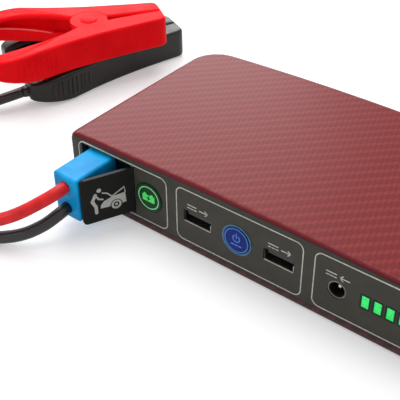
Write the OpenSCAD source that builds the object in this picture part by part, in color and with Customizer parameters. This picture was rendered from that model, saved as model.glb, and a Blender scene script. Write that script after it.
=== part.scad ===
// Jump starter pack with a plug-in cable set and two spring clamps.
// Millimetres, +Z up. The origin is the bottom centre of the pack body; the front panel faces -Y.

/* [Pack body] */
// Length of the body along X
body_len = 173.4; // [165:0.2:200]
// Depth of the body from the front panel to the back
body_depth = 97; // [94:0.5:120]
// Height of the body at its two ends
body_height = 31; // [30.5:0.1:36]
// How much higher the top stands at mid-length
top_crown = 1.6; // [0.4:0.1:4]
// How far the back edge bows out at mid-length
back_bow = 1.75; // [0:0.05:3]
// Corner radius at the back
back_corner_r = 14; // [8:0.5:16]
// Reach of the front corner rounding along X
front_corner_x = 3; // [2.9:0.1:5]
// Reach of the front corner rounding along Y
front_corner_y = 3.2; // [2.9:0.1:8]
// Radius of the top edge
top_edge_r = 2.8; // [1:0.1:2.8]
// Radius of the bottom edge
bottom_edge_r = 1.5; // [0.5:0.1:2]
// Thickness of the side walls
wall_t = 2.2; // [1.6:0.1:2.6]
// Thickness of the floor
floor_t = 2; // [1.6:0.1:2.4]
// Thickness of the top wall
ceiling_t = 2; // [1.4:0.1:2.4]
// Height of the lip of the bottom shell
lip_h = 3.5; // [3:0.1:4]
// Seam between the shells
seam = 0.15; // [0.05:0.05:0.3]
// Thickness of the front panel
panel_t = 2.3; // [2:0.1:3]

/* [Case screws] */
// Shank radius of the case screws
screw_r = 1.25; // [1:0.05:1.5]
// Head radius of the case screws
screw_head_r = 2.4; // [2:0.1:2.8]
// Radius of the screw bosses
boss_r = 3; // [2.6:0.1:3.4]
// Length of the case screws under the head
screw_len = 12; // [8:0.5:16]

/* [Socket, plug and cover] */
// Plug centre, measured from the left end of the body
plug_inset = 17.75; // [17:0.05:20]
// Height of the plug centre above the middle of its window
plug_rise = 0.4; // [0:0.1:0.6]
// Width of the plug
plug_w = 13; // [11:0.1:13.2]
// How much lower the plug is than its window
plug_slack = 3; // [2.4:0.1:5]
// How far the plug stands out of the panel
plug_proud = 20.3; // [16:0.1:24]
// Length of the plug's nose
nose_len = 8; // [6:0.1:9]
// Distance between the two contacts, as a share of the plug's height
contact_share = 0.5; // [0.44:0.01:0.52]
// Radius of the plug pins
pin_r = 2.5; // [1.8:0.05:2.6]
// How far the pins stand out of the nose
pin_proud = 8; // [6:0.1:9]
// Width of the socket window in the panel
window_w = 28.6; // [27:0.1:29]
// Height of the window's lower edge
window_low = 5.5; // [5.2:0.1:7]
// Height of the body's ends above the window
window_top_gap = 2.5; // [2.3:0.1:4]
// Length of the cover from its hinge
cover_len = 22.4; // [18:0.1:22.6]
// Thickness of the cover
cover_t = 1.5; // [1:0.05:1.6]
// Angle at which the cover stands open
cover_open = 65; // [65:1:100]
// Radius of the cover's hinge pin
hinge_pin_r = 0.5; // [0.4:0.05:0.6]

/* [Buttons] */
// Start button centre, measured from the plug centre
start_offset = 25.85; // [25.6:0.05:26.8]
// Height of the button centres
button_z = 17; // [16:0.1:18]
// Radius of the start button
start_r = 6.3; // [5.6:0.05:6.5]
// Radius of the power button
power_r = 5.85; // [5:0.05:6.2]
// Radial thickness of the power button's bezel
bezel_t = 0.85; // [0.6:0.05:1.2]
// Travel of the buttons
button_travel = 0.6; // [0.3:0.05:0.8]

/* [Ports and gauge] */
// Distance of each USB port from mid-length
usb_x = 18.7; // [16.5:0.1:21]
// Height of the USB port centres
usb_z = 17; // [16.5:0.1:17.5]
// Outer width of the USB shells
usb_w = 13.2; // [12.6:0.1:14]
// Outer height of the USB shells
usb_h = 5.5; // [5:0.1:6]
// Depth of the USB shells
usb_len = 13.5; // [10:0.1:15]
// Outer radius of the jack's nose
jack_r = 3.8; // [3.7:0.1:4.6]
// Radius of the jack's opening
jack_bore_r = 3.1; // [2.8:0.05:3.3]
// Radius of the jack's pin
jack_pin_r = 1; // [0.6:0.05:1.3]
// Height of the jack's centre
jack_z = 16.3; // [15.5:0.1:17]
// Jack centre, measured from the last gauge bar
jack_offset = 25.5; // [24.6:0.1:27]
// Last gauge bar, measured from the right end of the body
gauge_inset = 18.3; // [17:0.1:20]
// Distance between the gauge bars
gauge_pitch = 4.77; // [4:0.01:5]
// Number of gauge bars
gauge_bars = 4; // [3:1:4]
// Width of a gauge bar
bar_w = 2.7; // [2:0.05:3]
// Height of a gauge bar
bar_h = 5; // [4:0.1:6]

/* [Board and cells] */
// Thickness of the main board
board_t = 1.6; // [1:0.1:2]
// Depth of the main board
board_depth = 31.5; // [28:0.5:32]
// Clear length between the cells and the right end of the body
cell_end_gap = 24.7; // [22:0.1:60]
// Clear depth between the cells and the back of the body
cell_back_gap = 6.5; // [5.5:0.1:16]
// Clear height between the cells and the ceiling
cell_top_gap = 1.6; // [1.2:0.1:6]
// Thickness of the foam under the cells
pad_t = 1; // [0.6:0.1:1.4]

/* [Clamps] */
// Thickness of a clamp
clamp_t = 15.5; // [15:0.1:17]
// Thickness of a clamp at the handle ends
handle_end_t = 9; // [9:0.1:11]
// Wall thickness of the arms
arm_wall = 2.2; // [1.8:0.1:2.4]
// Edge radius of the arms
arm_edge_r = 1.6; // [0.8:0.1:2]
// Radius of the outer ears at the pivot
ear_r = 9.5; // [8.5:0.1:9.8]
// Radius of the pivot pin
pivot_r = 2; // [1.6:0.05:2.4]
// Wire radius of the clamp springs
wire_r = 0.6; // [0.4:0.05:0.65]
// Mean radius of the clamp springs
spring_r = 5.5; // [5:0.1:6.5]
// Full turns of the clamp springs besides the part turn between their legs
spring_turns = 2; // [1:1:2]
// Thickness of the copper jaw plates
jaw_t = 1.4; // [1:0.1:1.8]
// Distance between the jaw teeth
tooth_pitch = 2; // [1.5:0.1:3]
// Gap between the two clamps where one lies on the other
stack_gap = 0.4; // [0.3:0.05:0.6]

/* [Leads] */
// Radius of the red and black leads
lead_r = 2.6; // [2.2:0.05:2.7]

/* [Hidden] */
$fn = 64;
// Running clearance between a pin or stem and its bore, on the radius
fit = 0.05;
// Clearance of a fixed pin or screw in its seat, on the radius
seat = 0.02;
// Gap between pieces that move past each other
gap = 0.3;
// Overlap that joins or cuts cleanly
eps = 0.01;

// ---- Derived sizes of the body ----
half_len = body_len / 2;
front_y = -body_depth / 2;
panel_back_y = front_y + panel_t;
function top_z(x) = body_height + top_crown * (1 - pow(x / half_len, 2));
function ceiling_z(x) = top_z(x) - ceiling_t;
// Lowest point of the ceiling over a stretch that ends at x
cavity_top = body_height - ceiling_t;

// ---- Derived places on the front panel ----
plug_x = -half_len + plug_inset;
plug_face_y = front_y - plug_proud;
window_x0 = plug_x - 10.25;
window_x1 = window_x0 + window_w;
window_z0 = window_low;
window_z1 = body_height - window_top_gap;
window_h = window_z1 - window_z0;
plug_z = window_z0 + window_h / 2 + plug_rise;
plug_h = window_h - plug_slack;
contact_pitch = plug_h * contact_share;
start_x = plug_x + start_offset;
gauge_last_x = half_len - gauge_inset;
gauge_first_x = gauge_last_x - (gauge_bars - 1) * gauge_pitch;
jack_x = gauge_last_x - jack_offset;
bezel_r = power_r + 0.1 + bezel_t;

// ---- Derived places inside ----
board_top = usb_z - usb_h / 2;
board_x0 = start_x - 4;
board_x1 = half_len - 11;
board_y0 = panel_back_y + 2.2;
board_y1 = board_y0 + board_depth;
cell_x0 = -half_len + 28.7;
cell_y0 = front_y + 40.5;
cell_len = half_len - cell_end_gap - cell_x0;
cell_w = body_depth / 2 - cell_back_gap - cell_y0;
cell_z0 = floor_t + pad_t;
cell_space = 0.2;
cell_t = (cavity_top - cell_top_gap - cell_z0 - 2 * cell_space) / 3;
pad_inset = cell_w * 0.08;
tab_len = 6;
tab_w = cell_w / 5;
link_t = 1.2;
link_x = cell_x0 - tab_len;
contact_top_z = plug_z + contact_pitch / 2;
contact_low_z = plug_z - contact_pitch / 2;
screw_places = [
    [-half_len + 7.2, front_y + 20.5], [half_len - 7.2, front_y + 20.5],
    [-half_len + 11.7, body_depth / 2 - 12.5], [half_len - 11.7, body_depth / 2 - 12.5]
];
board_screw_places = [
    [board_x0 + 13, board_y1 - 4], [board_x1 - 3.5, board_y1 - 4],
    [board_x0 + 13, board_y0 + 13], [jack_x + 6, board_y0 + 14]
];
board_screw_r = 0.95;

// ---- Lofted solids ----
// Rings of equal length are stacked upwards. The first half of a ring runs along one long
// side and the second half comes back along the other, so the end caps are strips of quads.
module loft(rings) {
    n = len(rings[0]);
    last = (len(rings) - 1) * n;
    polyhedron(
        points = [for (ring = rings) each ring],
        faces = concat(
            [for (k = [0:len(rings) - 2], i = [0:n - 1])
                let (a = k * n + i, b = k * n + (i + 1) % n)
                each [[a, a + n, b + n], [a, b + n, b]]],
            [for (i = [0:n / 2 - 2])
                each [[i, i + 1, n - 2 - i], [i, n - 2 - i, n - 1 - i]]],
            [for (i = [0:n / 2 - 2])
                each [[last + i, last + n - 2 - i, last + i + 1],
                      [last + i, last + n - 1 - i, last + n - 2 - i]]]
        ),
        convexity = 6
    );
}

// Angles round the back corners at which the body has a station
corner_angles = [0, 20, 40, 55, 65, 75, 83, 90];
mid_stations = 8;
function stations(inset) =
    let (reach = half_len - inset, r = max(back_corner_r - inset, 0.5), s = reach - r)
    concat(
        [for (k = [7:-1:1]) -s - r * sin(corner_angles[k])],
        [for (k = [0:mid_stations]) s * (2 * k / mid_stations - 1)],
        [for (k = [1:7]) s + r * sin(corner_angles[k])]
    );
// Drop of a quarter ellipse of half-axes rx and ry at a distance d from its end
function corner_drop(d, rx, ry) = d >= rx ? 0 : ry * (1 - sqrt(max(0, 1 - pow(1 - d / rx, 2))));
function edge_front(x, inset) =
    front_y + inset
    + corner_drop(half_len - inset - abs(x), max(front_corner_x - inset, 0.1),
                  max(front_corner_y - inset, 0.1));
function edge_back(x, inset) =
    body_depth / 2 - inset - back_bow * pow(x / half_len, 2)
    - corner_drop(half_len - inset - abs(x), max(back_corner_r - inset, 0.5),
                  max(back_corner_r - inset, 0.5));
// One ring of the body, dz above the floor or below the crowned top
function body_ring(inset, from_top, dz) =
    let (xs = stations(inset), n = len(xs))
    concat(
        [for (x = xs) [x, edge_front(x, inset), from_top ? top_z(x) - dz : dz]],
        [for (i = [n - 1:-1:0])
            [xs[i], edge_back(xs[i], inset), from_top ? top_z(xs[i]) - dz : dz]]
    );
module body_outer() {
    loft(concat(
        [for (a = [0, 45, 90])
            body_ring(bottom_edge_r * (1 - sin(a)), false, bottom_edge_r * (1 - cos(a)))],
        [for (a = [90, 60, 30, 0])
            body_ring(top_edge_r * (1 - sin(a)), true, top_edge_r * (1 - cos(a)))]
    ));
}
module body_cavity(inset = wall_t) {
    loft([body_ring(inset, false, floor_t), body_ring(inset, true, ceiling_t)]);
}
// A box that reaches past the body in X and Y, between two heights
module slab(z0, z1) {
    translate([-half_len - 1, front_y - 1, z0]) cube([body_len + 2, body_depth + 2, z1 - z0]);
}
// A cylinder along +Y from y0 to y1
module rod_y(x, z, r, y0, y1) {
    translate([x, y0, z]) rotate([-90, 0, 0]) cylinder(r = r, h = y1 - y0);
}
// A box given by its two corners
module block(a, b) {
    translate(a) cube(b - a);
}
// A box along Y with rounded edges, seen from the front
module round_bar_y(x, z, w, h, r, y0, y1) {
    translate([x, y1, z]) rotate([90, 0, 0]) linear_extrude(y1 - y0) round_rect(w, h, r);
}
module round_rect(w, h, r) {
    square([w - 2 * r, h], center = true);
    square([w, h - 2 * r], center = true);
    for (sx = [-1, 1], sy = [-1, 1])
        translate([sx * (w / 2 - r), sy * (h / 2 - r)]) circle(r = r, $fn = 32);
}

// ---- Casing ----
// The top shell reaches forward over the upper edge of the panel as a thin brow
brow_y = front_y + 0.7;
brow_t = 1.3;
module brow_zone(spare) {
    intersection() {
        loft([body_ring(-1, true, brow_t + spare), body_ring(-1, true, -2)]);
        block([-half_len - 1, brow_y - spare, body_height / 2],
              [half_len + 1, panel_back_y + seam + 0.5, body_height + top_crown + 1]);
    }
}
module top_shell() {
    color([0.55, 0.12, 0.15]) difference() {
        union() {
            intersection() {
                difference() {
                    body_outer();
                    body_cavity();
                }
                translate([-half_len - 1, panel_back_y + seam, lip_h + seam])
                    cube([body_len + 2, body_depth, body_height + top_crown]);
            }
            intersection() {
                body_outer();
                brow_zone(0);
            }
            for (p = screw_places)
                translate([p[0], p[1], lip_h + seam])
                    cylinder(r = boss_r, h = ceiling_z(abs(p[0]) + boss_r) - lip_h);
        }
        for (p = screw_places)
            translate([p[0], p[1], lip_h]) cylinder(r = screw_r + seat, h = screw_len);
    }
}

rib_t = 1.2;
module bottom_shell() {
    color([0.32, 0.1, 0.12]) difference() {
        union() {
            difference() {
                intersection() {
                    body_outer();
                    slab(-1, lip_h);
                }
                body_cavity();
            }
            locating_rib();
            for (p = screw_places) translate([p[0], p[1], eps]) cylinder(r = boss_r + 0.8, h = lip_h - eps);
            for (p = board_screw_places)
                translate([p[0], p[1], floor_t - eps])
                    cylinder(r = boss_r - 0.4, h = board_top - board_t - floor_t + eps);
            relay_posts();
            cell_fences();
        }
        for (p = screw_places) translate([p[0], p[1], -1]) {
            cylinder(r = screw_r + 0.25, h = lip_h + 2);
            cylinder(r = screw_head_r + 0.2, h = 1 + screw_seat_z);
        }
        for (p = board_screw_places)
            translate([p[0], p[1], floor_t + 2]) cylinder(r = board_screw_r + seat, h = board_top);
    }
}
// Height at which the heads of the case screws bear
screw_seat_z = 1.9;
// Rib inside the sides and back that locates the top shell
module locating_rib() {
    intersection() {
        difference() {
            body_cavity(wall_t + seam);
            body_cavity(wall_t + seam + rib_t);
        }
        block([-half_len, front_y + 6, 0], [half_len, body_depth / 2, lip_h + 2]);
    }
}
module relay_posts() {
    for (s = [-1, 1])
        translate([plug_x + s * 6.2, relay_y0 + relay_len / 2, floor_t - eps])
            cylinder(r = 2.4, h = relay_z0 - floor_t + eps);
}
module cell_fences() {
    fence_z = floor_t + 4;
    for (x = [cell_x0 + 10, cell_x0 + cell_len - 40]) {
        block([x, cell_y0 - gap - rib_t, floor_t - eps], [x + 30, cell_y0 - gap, fence_z]);
        block([x, cell_y0 + cell_w + gap, floor_t - eps],
              [x + 30, cell_y0 + cell_w + gap + rib_t, fence_z]);
    }
    block([cell_x0 + cell_len + gap, cell_y0 + 10, floor_t - eps],
          [cell_x0 + cell_len + gap + rib_t, cell_y0 + cell_w - 10, fence_z]);
}

hook_w = 8;
module front_panel() {
    color([0.27, 0.25, 0.23]) difference() {
        union() {
            intersection() {
                body_outer();
                block([-half_len - 1, front_y - 1, lip_h + seam],
                      [half_len + 1, panel_back_y, body_height + top_crown + 1]);
            }
            for (x = [start_x + 3, -5, 30, half_len - 14])
                block([x - hook_w / 2, panel_back_y - eps, ceiling_z(abs(x) + hook_w / 2) - 1.7],
                      [x + hook_w / 2, panel_back_y + 4, ceiling_z(abs(x) + hook_w / 2) - 0.2]);
        }
        block([window_x0, front_y - 1, window_z0], [window_x1, panel_back_y + 1, window_z1]);
        translate([hinge_x, hinge_y, window_z0 - hinge_seat])
            cylinder(r = hinge_pin_r + seat, h = window_h + 2 * hinge_seat);
        rod_y(start_x, button_z, start_r + 0.1, front_y - 1, panel_back_y + 1);
        rod_y(0, button_z, bezel_r + seat, front_y - 1, panel_back_y + 1);
        for (s = [-1, 1])
            round_bar_y(s * usb_x, usb_z, usb_w + 0.3, usb_h + 0.3, 0.8, front_y - 1, panel_back_y + 1);
        rod_y(jack_x, jack_z, jack_r + 0.1, front_y - 1, panel_back_y + 1);
        for (i = [0:gauge_bars - 1])
            gauge_bar(i, 0.05, front_y - 1, panel_back_y + 1);
        brow_zone(seam);
    }
}
module shell_screws() {
    color([0.6, 0.6, 0.62]) for (p = screw_places) translate([p[0], p[1], screw_seat_z]) difference() {
        union() {
            translate([0, 0, -1.5]) cylinder(r = screw_head_r, h = 1.5);
            cylinder(r = screw_r, h = screw_len - 1.5);
        }
        for (a = [0, 90]) rotate(a) block([-1.5, -0.35, -1.6], [1.5, 0.35, -0.6]);
    }
}

// ---- Socket and cover ----
nose_w = plug_w - 2;
nose_h = plug_h - 2.4;
nose_gap = 0.3;
flange_t = 1.8;
plug_shoulder_y = panel_back_y - gap;
nose_end_y = plug_shoulder_y + nose_len;
well_end_y = nose_end_y + gap;
housing_end_y = well_end_y + 4.6;
pin_tip_y = nose_end_y + pin_proud;
contact_r = pin_r + 0.8;
contact_end_y = pin_tip_y + 4.3;
module socket_housing() {
    color([0.08, 0.08, 0.09]) difference() {
        union() {
            block([window_x0 - 2, panel_back_y, window_z0 - 1.3],
                  [window_x1 + 1, panel_back_y + flange_t, min(window_z1 + 0.5, cavity_top - 0.2)]);
            round_bar_y(plug_x, plug_z, nose_w + 2 * nose_gap + 3.2, nose_h + 2 * nose_gap + 3.2, 1.4,
                        panel_back_y + flange_t - eps, housing_end_y);
        }
        round_bar_y(plug_x, plug_z, nose_w + 2 * nose_gap, nose_h + 2 * nose_gap, 0.9,
                    panel_back_y - 1, well_end_y);
        for (z = [contact_low_z, contact_top_z])
            rod_y(plug_x, z, contact_r + seat, well_end_y - 1, housing_end_y + 1);
        rod_y(start_x, button_z, start_r + button_flange + gap,
              panel_back_y - 1, panel_back_y + flange_t + 1);
    }
}
module socket_contact(z) {
    difference() {
        union() {
            rod_y(plug_x, z, contact_r, well_end_y, contact_end_y);
            rod_y(plug_x, z, contact_r + 0.5, housing_end_y, housing_end_y + 1);
        }
        rod_y(plug_x, z, pin_r + fit, well_end_y - 1, pin_tip_y + 0.5);
    }
}
module socket_contact_positive() {
    color([0.8, 0.62, 0.3]) socket_contact(contact_top_z);
}
module socket_contact_negative() {
    color([0.8, 0.62, 0.3]) socket_contact(contact_low_z);
}

hinge_seat = 1.2;
hinge_x = window_x1 - 1.7;
hinge_y = front_y + 0.9;
barrel_r = hinge_pin_r + fit + 0.55;
cover_z0 = window_z0 + 0.8;
cover_h = window_h - 1.8;
module cover_hinge_pin() {
    color([0.7, 0.7, 0.72]) translate([hinge_x, hinge_y, window_z0 - hinge_seat + gap / 3])
        cylinder(r = hinge_pin_r, h = window_h + 2 * hinge_seat - gap / 1.5);
}
// The plate runs along its own +X from the hinge, with its outer face towards its own +Y
module socket_cover() {
    color([0.09, 0.09, 0.1]) translate([hinge_x, hinge_y, cover_z0]) rotate(180 + cover_open) difference() {
        union() {
            intersection() {
                linear_extrude(cover_h) union() {
                    translate([0, 0.9 - cover_t]) square([cover_len - cover_t / 2, cover_t]);
                    translate([cover_len - cover_t / 2, 0.9 - cover_t / 2]) circle(d = cover_t, $fn = 32);
                }
                translate([0, 2, 0]) rotate([90, 0, 0]) linear_extrude(4) union() {
                    square([cover_len - 2, cover_h]);
                    translate([0, 2]) square([cover_len, cover_h - 4]);
                    for (z = [2, cover_h - 2]) translate([cover_len - 2, z]) circle(r = 2);
                }
            }
            cylinder(r = barrel_r, h = cover_h);
        }
        translate([0, 0, -1]) cylinder(r = hinge_pin_r + fit, h = cover_h + 2);
    }
}

// ---- Ports ----
usb_front_y = front_y + 0.4;
module usb_shell(x) {
    color([0.75, 0.75, 0.76]) difference() {
        round_bar_y(x, usb_z, usb_w, usb_h, 0.7, usb_front_y, usb_front_y + usb_len);
        round_bar_y(x, usb_z, usb_w - 0.7, usb_h - 0.7, 0.4, usb_front_y - 1, usb_front_y + usb_len - 1);
    }
}
module usb_shell_left() {
    usb_shell(-usb_x);
}
module usb_shell_right() {
    usb_shell(usb_x);
}
module usb_tongue(x) {
    tongue_z1 = usb_z + usb_h / 2 - 0.85;
    color([0.12, 0.12, 0.13])
        block([x - 5.5, usb_front_y + 1, tongue_z1 - 1.8], [x + 5.5, usb_front_y + usb_len - 1, tongue_z1]);
}
module usb_tongue_left() {
    usb_tongue(-usb_x);
}
module usb_tongue_right() {
    usb_tongue(usb_x);
}

jack_front_y = front_y + 0.3;
jack_body_w = 9;
jack_body_end = panel_back_y + 12;
module dc_jack() {
    color([0.1, 0.1, 0.1]) difference() {
        union() {
            rod_y(jack_x, jack_z, jack_r, jack_front_y, panel_back_y + 1);
            block([jack_x - jack_body_w / 2, panel_back_y, jack_z - 5.4],
                  [jack_x + jack_body_w / 2, jack_body_end, jack_z + 5.4]);
            block([jack_x - jack_body_w / 2 - 2.5, panel_back_y + 4, board_top],
                  [jack_x + jack_body_w / 2 + 2.5, jack_body_end - 2, board_top + 1.2]);
        }
        rod_y(jack_x, jack_z, jack_bore_r, jack_front_y - 1, jack_body_end - 2);
        rod_y(jack_x, jack_z, jack_pin_r + seat, jack_front_y, jack_body_end + 1);
    }
}
module dc_jack_pin() {
    color([0.8, 0.78, 0.7]) union() {
        rod_y(jack_x, jack_z, jack_pin_r, jack_front_y + 2.6, jack_body_end + 0.6);
        translate([jack_x, jack_front_y + 2.6, jack_z]) sphere(r = jack_pin_r, $fn = 32);
    }
}

module gauge_bar(i, spare, y0, y1) {
    x = gauge_first_x + i * gauge_pitch;
    block([x - bar_w / 2 - spare, y0, usb_z - 2.6 - spare],
          [x + bar_w / 2 + spare, y1, usb_z - 2.6 + bar_h + spare]);
}
pipe_t = 1.4;
module gauge_light_pipe() {
    color([0.2, 0.9, 0.4]) union() {
        for (i = [0:gauge_bars - 1]) gauge_bar(i, 0, front_y + 0.05, panel_back_y + 1);
        block([gauge_first_x - bar_w / 2 - 0.9, panel_back_y, usb_z - 3.9],
              [gauge_last_x + bar_w / 2 + 0.9, panel_back_y + pipe_t, usb_z + bar_h - 1.3]);
    }
}
// Side-looking lamps that stand on the board's front edge
module gauge_leds() {
    color([0.9, 0.9, 0.8]) for (i = [0:gauge_bars - 1]) {
        x = gauge_first_x + i * gauge_pitch;
        block([x - 1.1, panel_back_y + pipe_t + 0.1, board_top + 0.6],
              [x + 1.1, board_y0 + 1.4, usb_z + 1.6]);
        block([x - 1.1, board_y0 + 0.1, board_top], [x + 1.1, board_y0 + 1.4, board_top + 0.6 + eps]);
    }
}

// ---- Buttons ----
button_proud = 0.4;
button_flange = 0.7;
stem_r = 1.6;
switch_y0 = board_y0 + 1.4;
ring_depth = 1;
// A button cap with its flange behind the panel, its stem and the groove of its light ring
module button_solid(x, r, ring_r, ring_w) {
    difference() {
        union() {
            rod_y(x, button_z, r, front_y - button_proud, panel_back_y + gap + 0.8);
            rod_y(x, button_z, r + button_flange, panel_back_y + gap, panel_back_y + gap + 0.8);
            rod_y(x, button_z, stem_r, panel_back_y + gap, switch_y0 + 1);
        }
        ring_solid(x, ring_r, ring_w, seat);
    }
}
module ring_solid(x, ring_r, ring_w, spare) {
    difference() {
        rod_y(x, button_z, ring_r + ring_w / 2 + spare,
              front_y - button_proud - 0.05, front_y - button_proud + ring_depth);
        rod_y(x, button_z, ring_r - ring_w / 2 - spare,
              front_y - button_proud - 1, front_y - button_proud + 2);
    }
}
start_ring_r = start_r - 1.2;
power_ring_r = power_r - 0.65;
ring_w = 0.45;
module start_button() {
    color([0.03, 0.3, 0.1]) button_solid(start_x, start_r, start_ring_r, ring_w);
}
module start_light_ring() {
    color([0.5, 1, 0.6]) ring_solid(start_x, start_ring_r, ring_w, 0);
}
module power_button() {
    color([0.08, 0.2, 0.55]) button_solid(0, power_r, power_ring_r, ring_w);
}
module power_light_ring() {
    color([0.3, 0.6, 0.9]) ring_solid(0, power_ring_r, ring_w, 0);
}
module power_bezel() {
    color([0.45, 0.6, 0.7]) difference() {
        rod_y(0, button_z, bezel_r, front_y - 0.25, panel_back_y);
        rod_y(0, button_z, power_r + 0.1, front_y - 1, panel_back_y + 1);
    }
}
module tact_switch(x) {
    color([0.15, 0.15, 0.16]) difference() {
        block([x - 3, switch_y0, board_top], [x + 3, switch_y0 + 4, button_z + 3]);
        rod_y(x, button_z, stem_r + fit, switch_y0 - 1, switch_y0 + 1 + button_travel + 0.6);
    }
}
module start_switch() {
    tact_switch(start_x);
}
module power_switch() {
    tact_switch(0);
}

// ---- Board ----
module main_board() {
    color([0.05, 0.3, 0.15]) difference() {
        block([board_x0, board_y0, board_top - board_t], [board_x1, board_y1, board_top]);
        block([jack_x - jack_body_w / 2 - 0.3, board_y0 - 1, 0],
              [jack_x + jack_body_w / 2 + 0.3, jack_body_end + 0.9, body_height]);
        for (p = board_screw_places)
            translate([p[0], p[1], 0]) cylinder(r = board_screw_r + 0.25, h = body_height);
    }
}
module board_screws() {
    color([0.6, 0.6, 0.62]) for (p = board_screw_places) translate([p[0], p[1], board_top]) difference() {
        union() {
            cylinder(r = 1.9, h = 1.3);
            translate([0, 0, -7]) cylinder(r = board_screw_r, h = 7 + eps);
        }
        for (a = [0, 90]) rotate(a) block([-1.2, -0.25, 0.6], [1.2, 0.25, 2]);
    }
}
capacitor_r = board_depth / 8;
module board_capacitors() {
    color([0.2, 0.2, 0.35]) for (i = [0:2])
        translate([board_x0 + 30 + i * (2 * capacitor_r + 2), board_y1 - capacitor_r - 2, board_top])
            cylinder(r = capacitor_r, h = 2.4 * capacitor_r);
}
module board_inductor() {
    color([0.25, 0.25, 0.26]) translate([jack_x - 8, board_y1 - 8, board_top]) difference() {
        translate([-6, -6, 0]) cube([12, 12, 7]);
        for (a = [0:90:270]) rotate(a + 45) translate([7.2, -3, -1]) cube([6, 6, 9]);
    }
}

// ---- Relay, heavy leads and cells ----
lead_gap = 5;
relay_len = 12;
relay_y0 = contact_end_y + lead_gap;
relay_z0 = contact_low_z + 4.2;
terminal_y0 = relay_y0 + relay_len + lead_gap;
module start_relay() {
    color([0.12, 0.13, 0.16]) block([plug_x - 8.4, relay_y0, relay_z0],
                                    [plug_x + 8.4, relay_y0 + relay_len, contact_top_z + 5]);
}
inner_lead_r = 2;
module positive_lead_front() {
    color([0.8, 0.1, 0.1]) rod_y(plug_x, contact_top_z, inner_lead_r, contact_end_y, relay_y0);
}
module positive_lead_rear() {
    color([0.8, 0.1, 0.1]) rod_y(plug_x, contact_top_z, inner_lead_r, relay_y0 + relay_len, terminal_y0);
}
module negative_lead() {
    color([0.1, 0.1, 0.1]) rod_y(plug_x, contact_low_z, inner_lead_r, contact_end_y, terminal_y0);
}
module terminal(z) {
    color([0.8, 0.62, 0.3])
        block([plug_x - 3, terminal_y0, z - 3], [link_x - link_t, terminal_y0 + 6, z + 3]);
}
module terminal_positive() {
    terminal(contact_top_z);
}
module terminal_negative() {
    terminal(contact_low_z);
}
module link_board() {
    color([0.05, 0.3, 0.15]) block([link_x - link_t, terminal_y0, cell_z0 + 0.5],
                                   [link_x, cell_y0 + cell_w - pad_inset, cell_z0 + 3 * cell_t]);
}
// A pouch cell with its sealed edge and its two tabs
module cell(k) {
    z = cell_z0 + k * (cell_t + cell_space);
    color([0.75, 0.76, 0.78]) union() {
        translate([cell_x0 + cell_len / 2, cell_y0 + cell_w / 2, z])
            linear_extrude(cell_t) round_rect(cell_len, cell_w, 3);
        block([cell_x0 - 3, cell_y0 + 2, z + cell_t / 2 - 0.3],
              [cell_x0 + eps, cell_y0 + cell_w - 2, z + cell_t / 2 + 0.3]);
        for (y = [cell_y0 + cell_w / 4, cell_y0 + 3 * cell_w / 4])
            block([link_x, y - tab_w / 2, z + cell_t / 2 - 0.15],
                  [cell_x0 - 3 + eps, y + tab_w / 2, z + cell_t / 2 + 0.15]);
    }
}
module cell_bottom() {
    cell(0);
}
module cell_middle() {
    cell(1);
}
module cell_top() {
    cell(2);
}
module cell_pad_bottom() {
    color([0.2, 0.2, 0.2])
        block([cell_x0 + pad_inset, cell_y0 + pad_inset, floor_t],
              [cell_x0 + cell_len - pad_inset, cell_y0 + cell_w - pad_inset, cell_z0]);
}
module cell_pad_top() {
    z = cell_z0 + 3 * cell_t + 2 * cell_space;
    color([0.2, 0.2, 0.2])
        block([cell_x0 + pad_inset, cell_y0 + pad_inset, z],
              [cell_x0 + cell_len - pad_inset, cell_y0 + cell_w - pad_inset, cavity_top + 0.2]);
}

// ---- Plug ----
plug_edge_r = 1.2;
module plug_shell() {
    color([0.1, 0.45, 0.8]) difference() {
        union() {
            translate([plug_x, 0, plug_z]) hull()
                for (sx = [-1, 1], sz = [-1, 1], y = [plug_face_y + plug_edge_r, plug_shoulder_y - 0.4])
                    translate([sx * (plug_w / 2 - plug_edge_r), y, sz * (plug_h / 2 - plug_edge_r)])
                        if (y < front_y) sphere(r = plug_edge_r, $fn = 24);
                        else rotate([-90, 0, 0]) cylinder(r = plug_edge_r, h = 0.4, $fn = 24);
            round_bar_y(plug_x, plug_z, nose_w, nose_h, 0.8, plug_shoulder_y - eps, nose_end_y);
        }
        for (z = [contact_low_z, contact_top_z])
            rod_y(plug_x, z, pin_r + seat, plug_shoulder_y - 6, nose_end_y + 1);
    }
}
module plug_pin(z) {
    color([0.85, 0.68, 0.35]) union() {
        rod_y(plug_x, z, pin_r, plug_shoulder_y - 6, pin_tip_y - 0.8);
        translate([plug_x, pin_tip_y - 0.8, z])
            rotate([-90, 0, 0]) cylinder(r1 = pin_r, r2 = pin_r - 0.8, h = 0.8);
    }
}
module plug_pin_positive() {
    plug_pin(contact_top_z);
}
module plug_pin_negative() {
    plug_pin(contact_low_z);
}

// ---- Clamps ----
// An arm lies in its own frame: the pivot at the origin, the jaws towards +X, its mid-plane
// at z = 0 and its outer edge towards -Y. The other arm is its mirror image.
function bezier(p, t) =
    pow(1 - t, 3) * p[0] + 3 * t * pow(1 - t, 2) * p[1] + 3 * t * t * (1 - t) * p[2] + pow(t, 3) * p[3];
function bezier_run(p, steps, first) = [for (i = [first:steps]) bezier(p, i / steps)];
jaw_len = 38.6;
handle_reach = 53.5;
edge_steps = 10;
tip_steps = 3;
// Outer edge, from the handle's end over its swelling and round the corner of the jaw's tip
outer_edge = concat(
    bezier_run([[-handle_reach, -24.3], [-52.2, -29], [-40, -32.2], [-27, -26.4]], edge_steps, 0),
    bezier_run([[-27, -26.4], [-9, -19.2], [14, -14.4], [34.6, -11.5]], edge_steps - tip_steps, 1),
    bezier_run([[34.6, -11.5], [37.2, -11.1], [jaw_len, -9.7], [jaw_len, -7.3]], tip_steps, 1)
);
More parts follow.
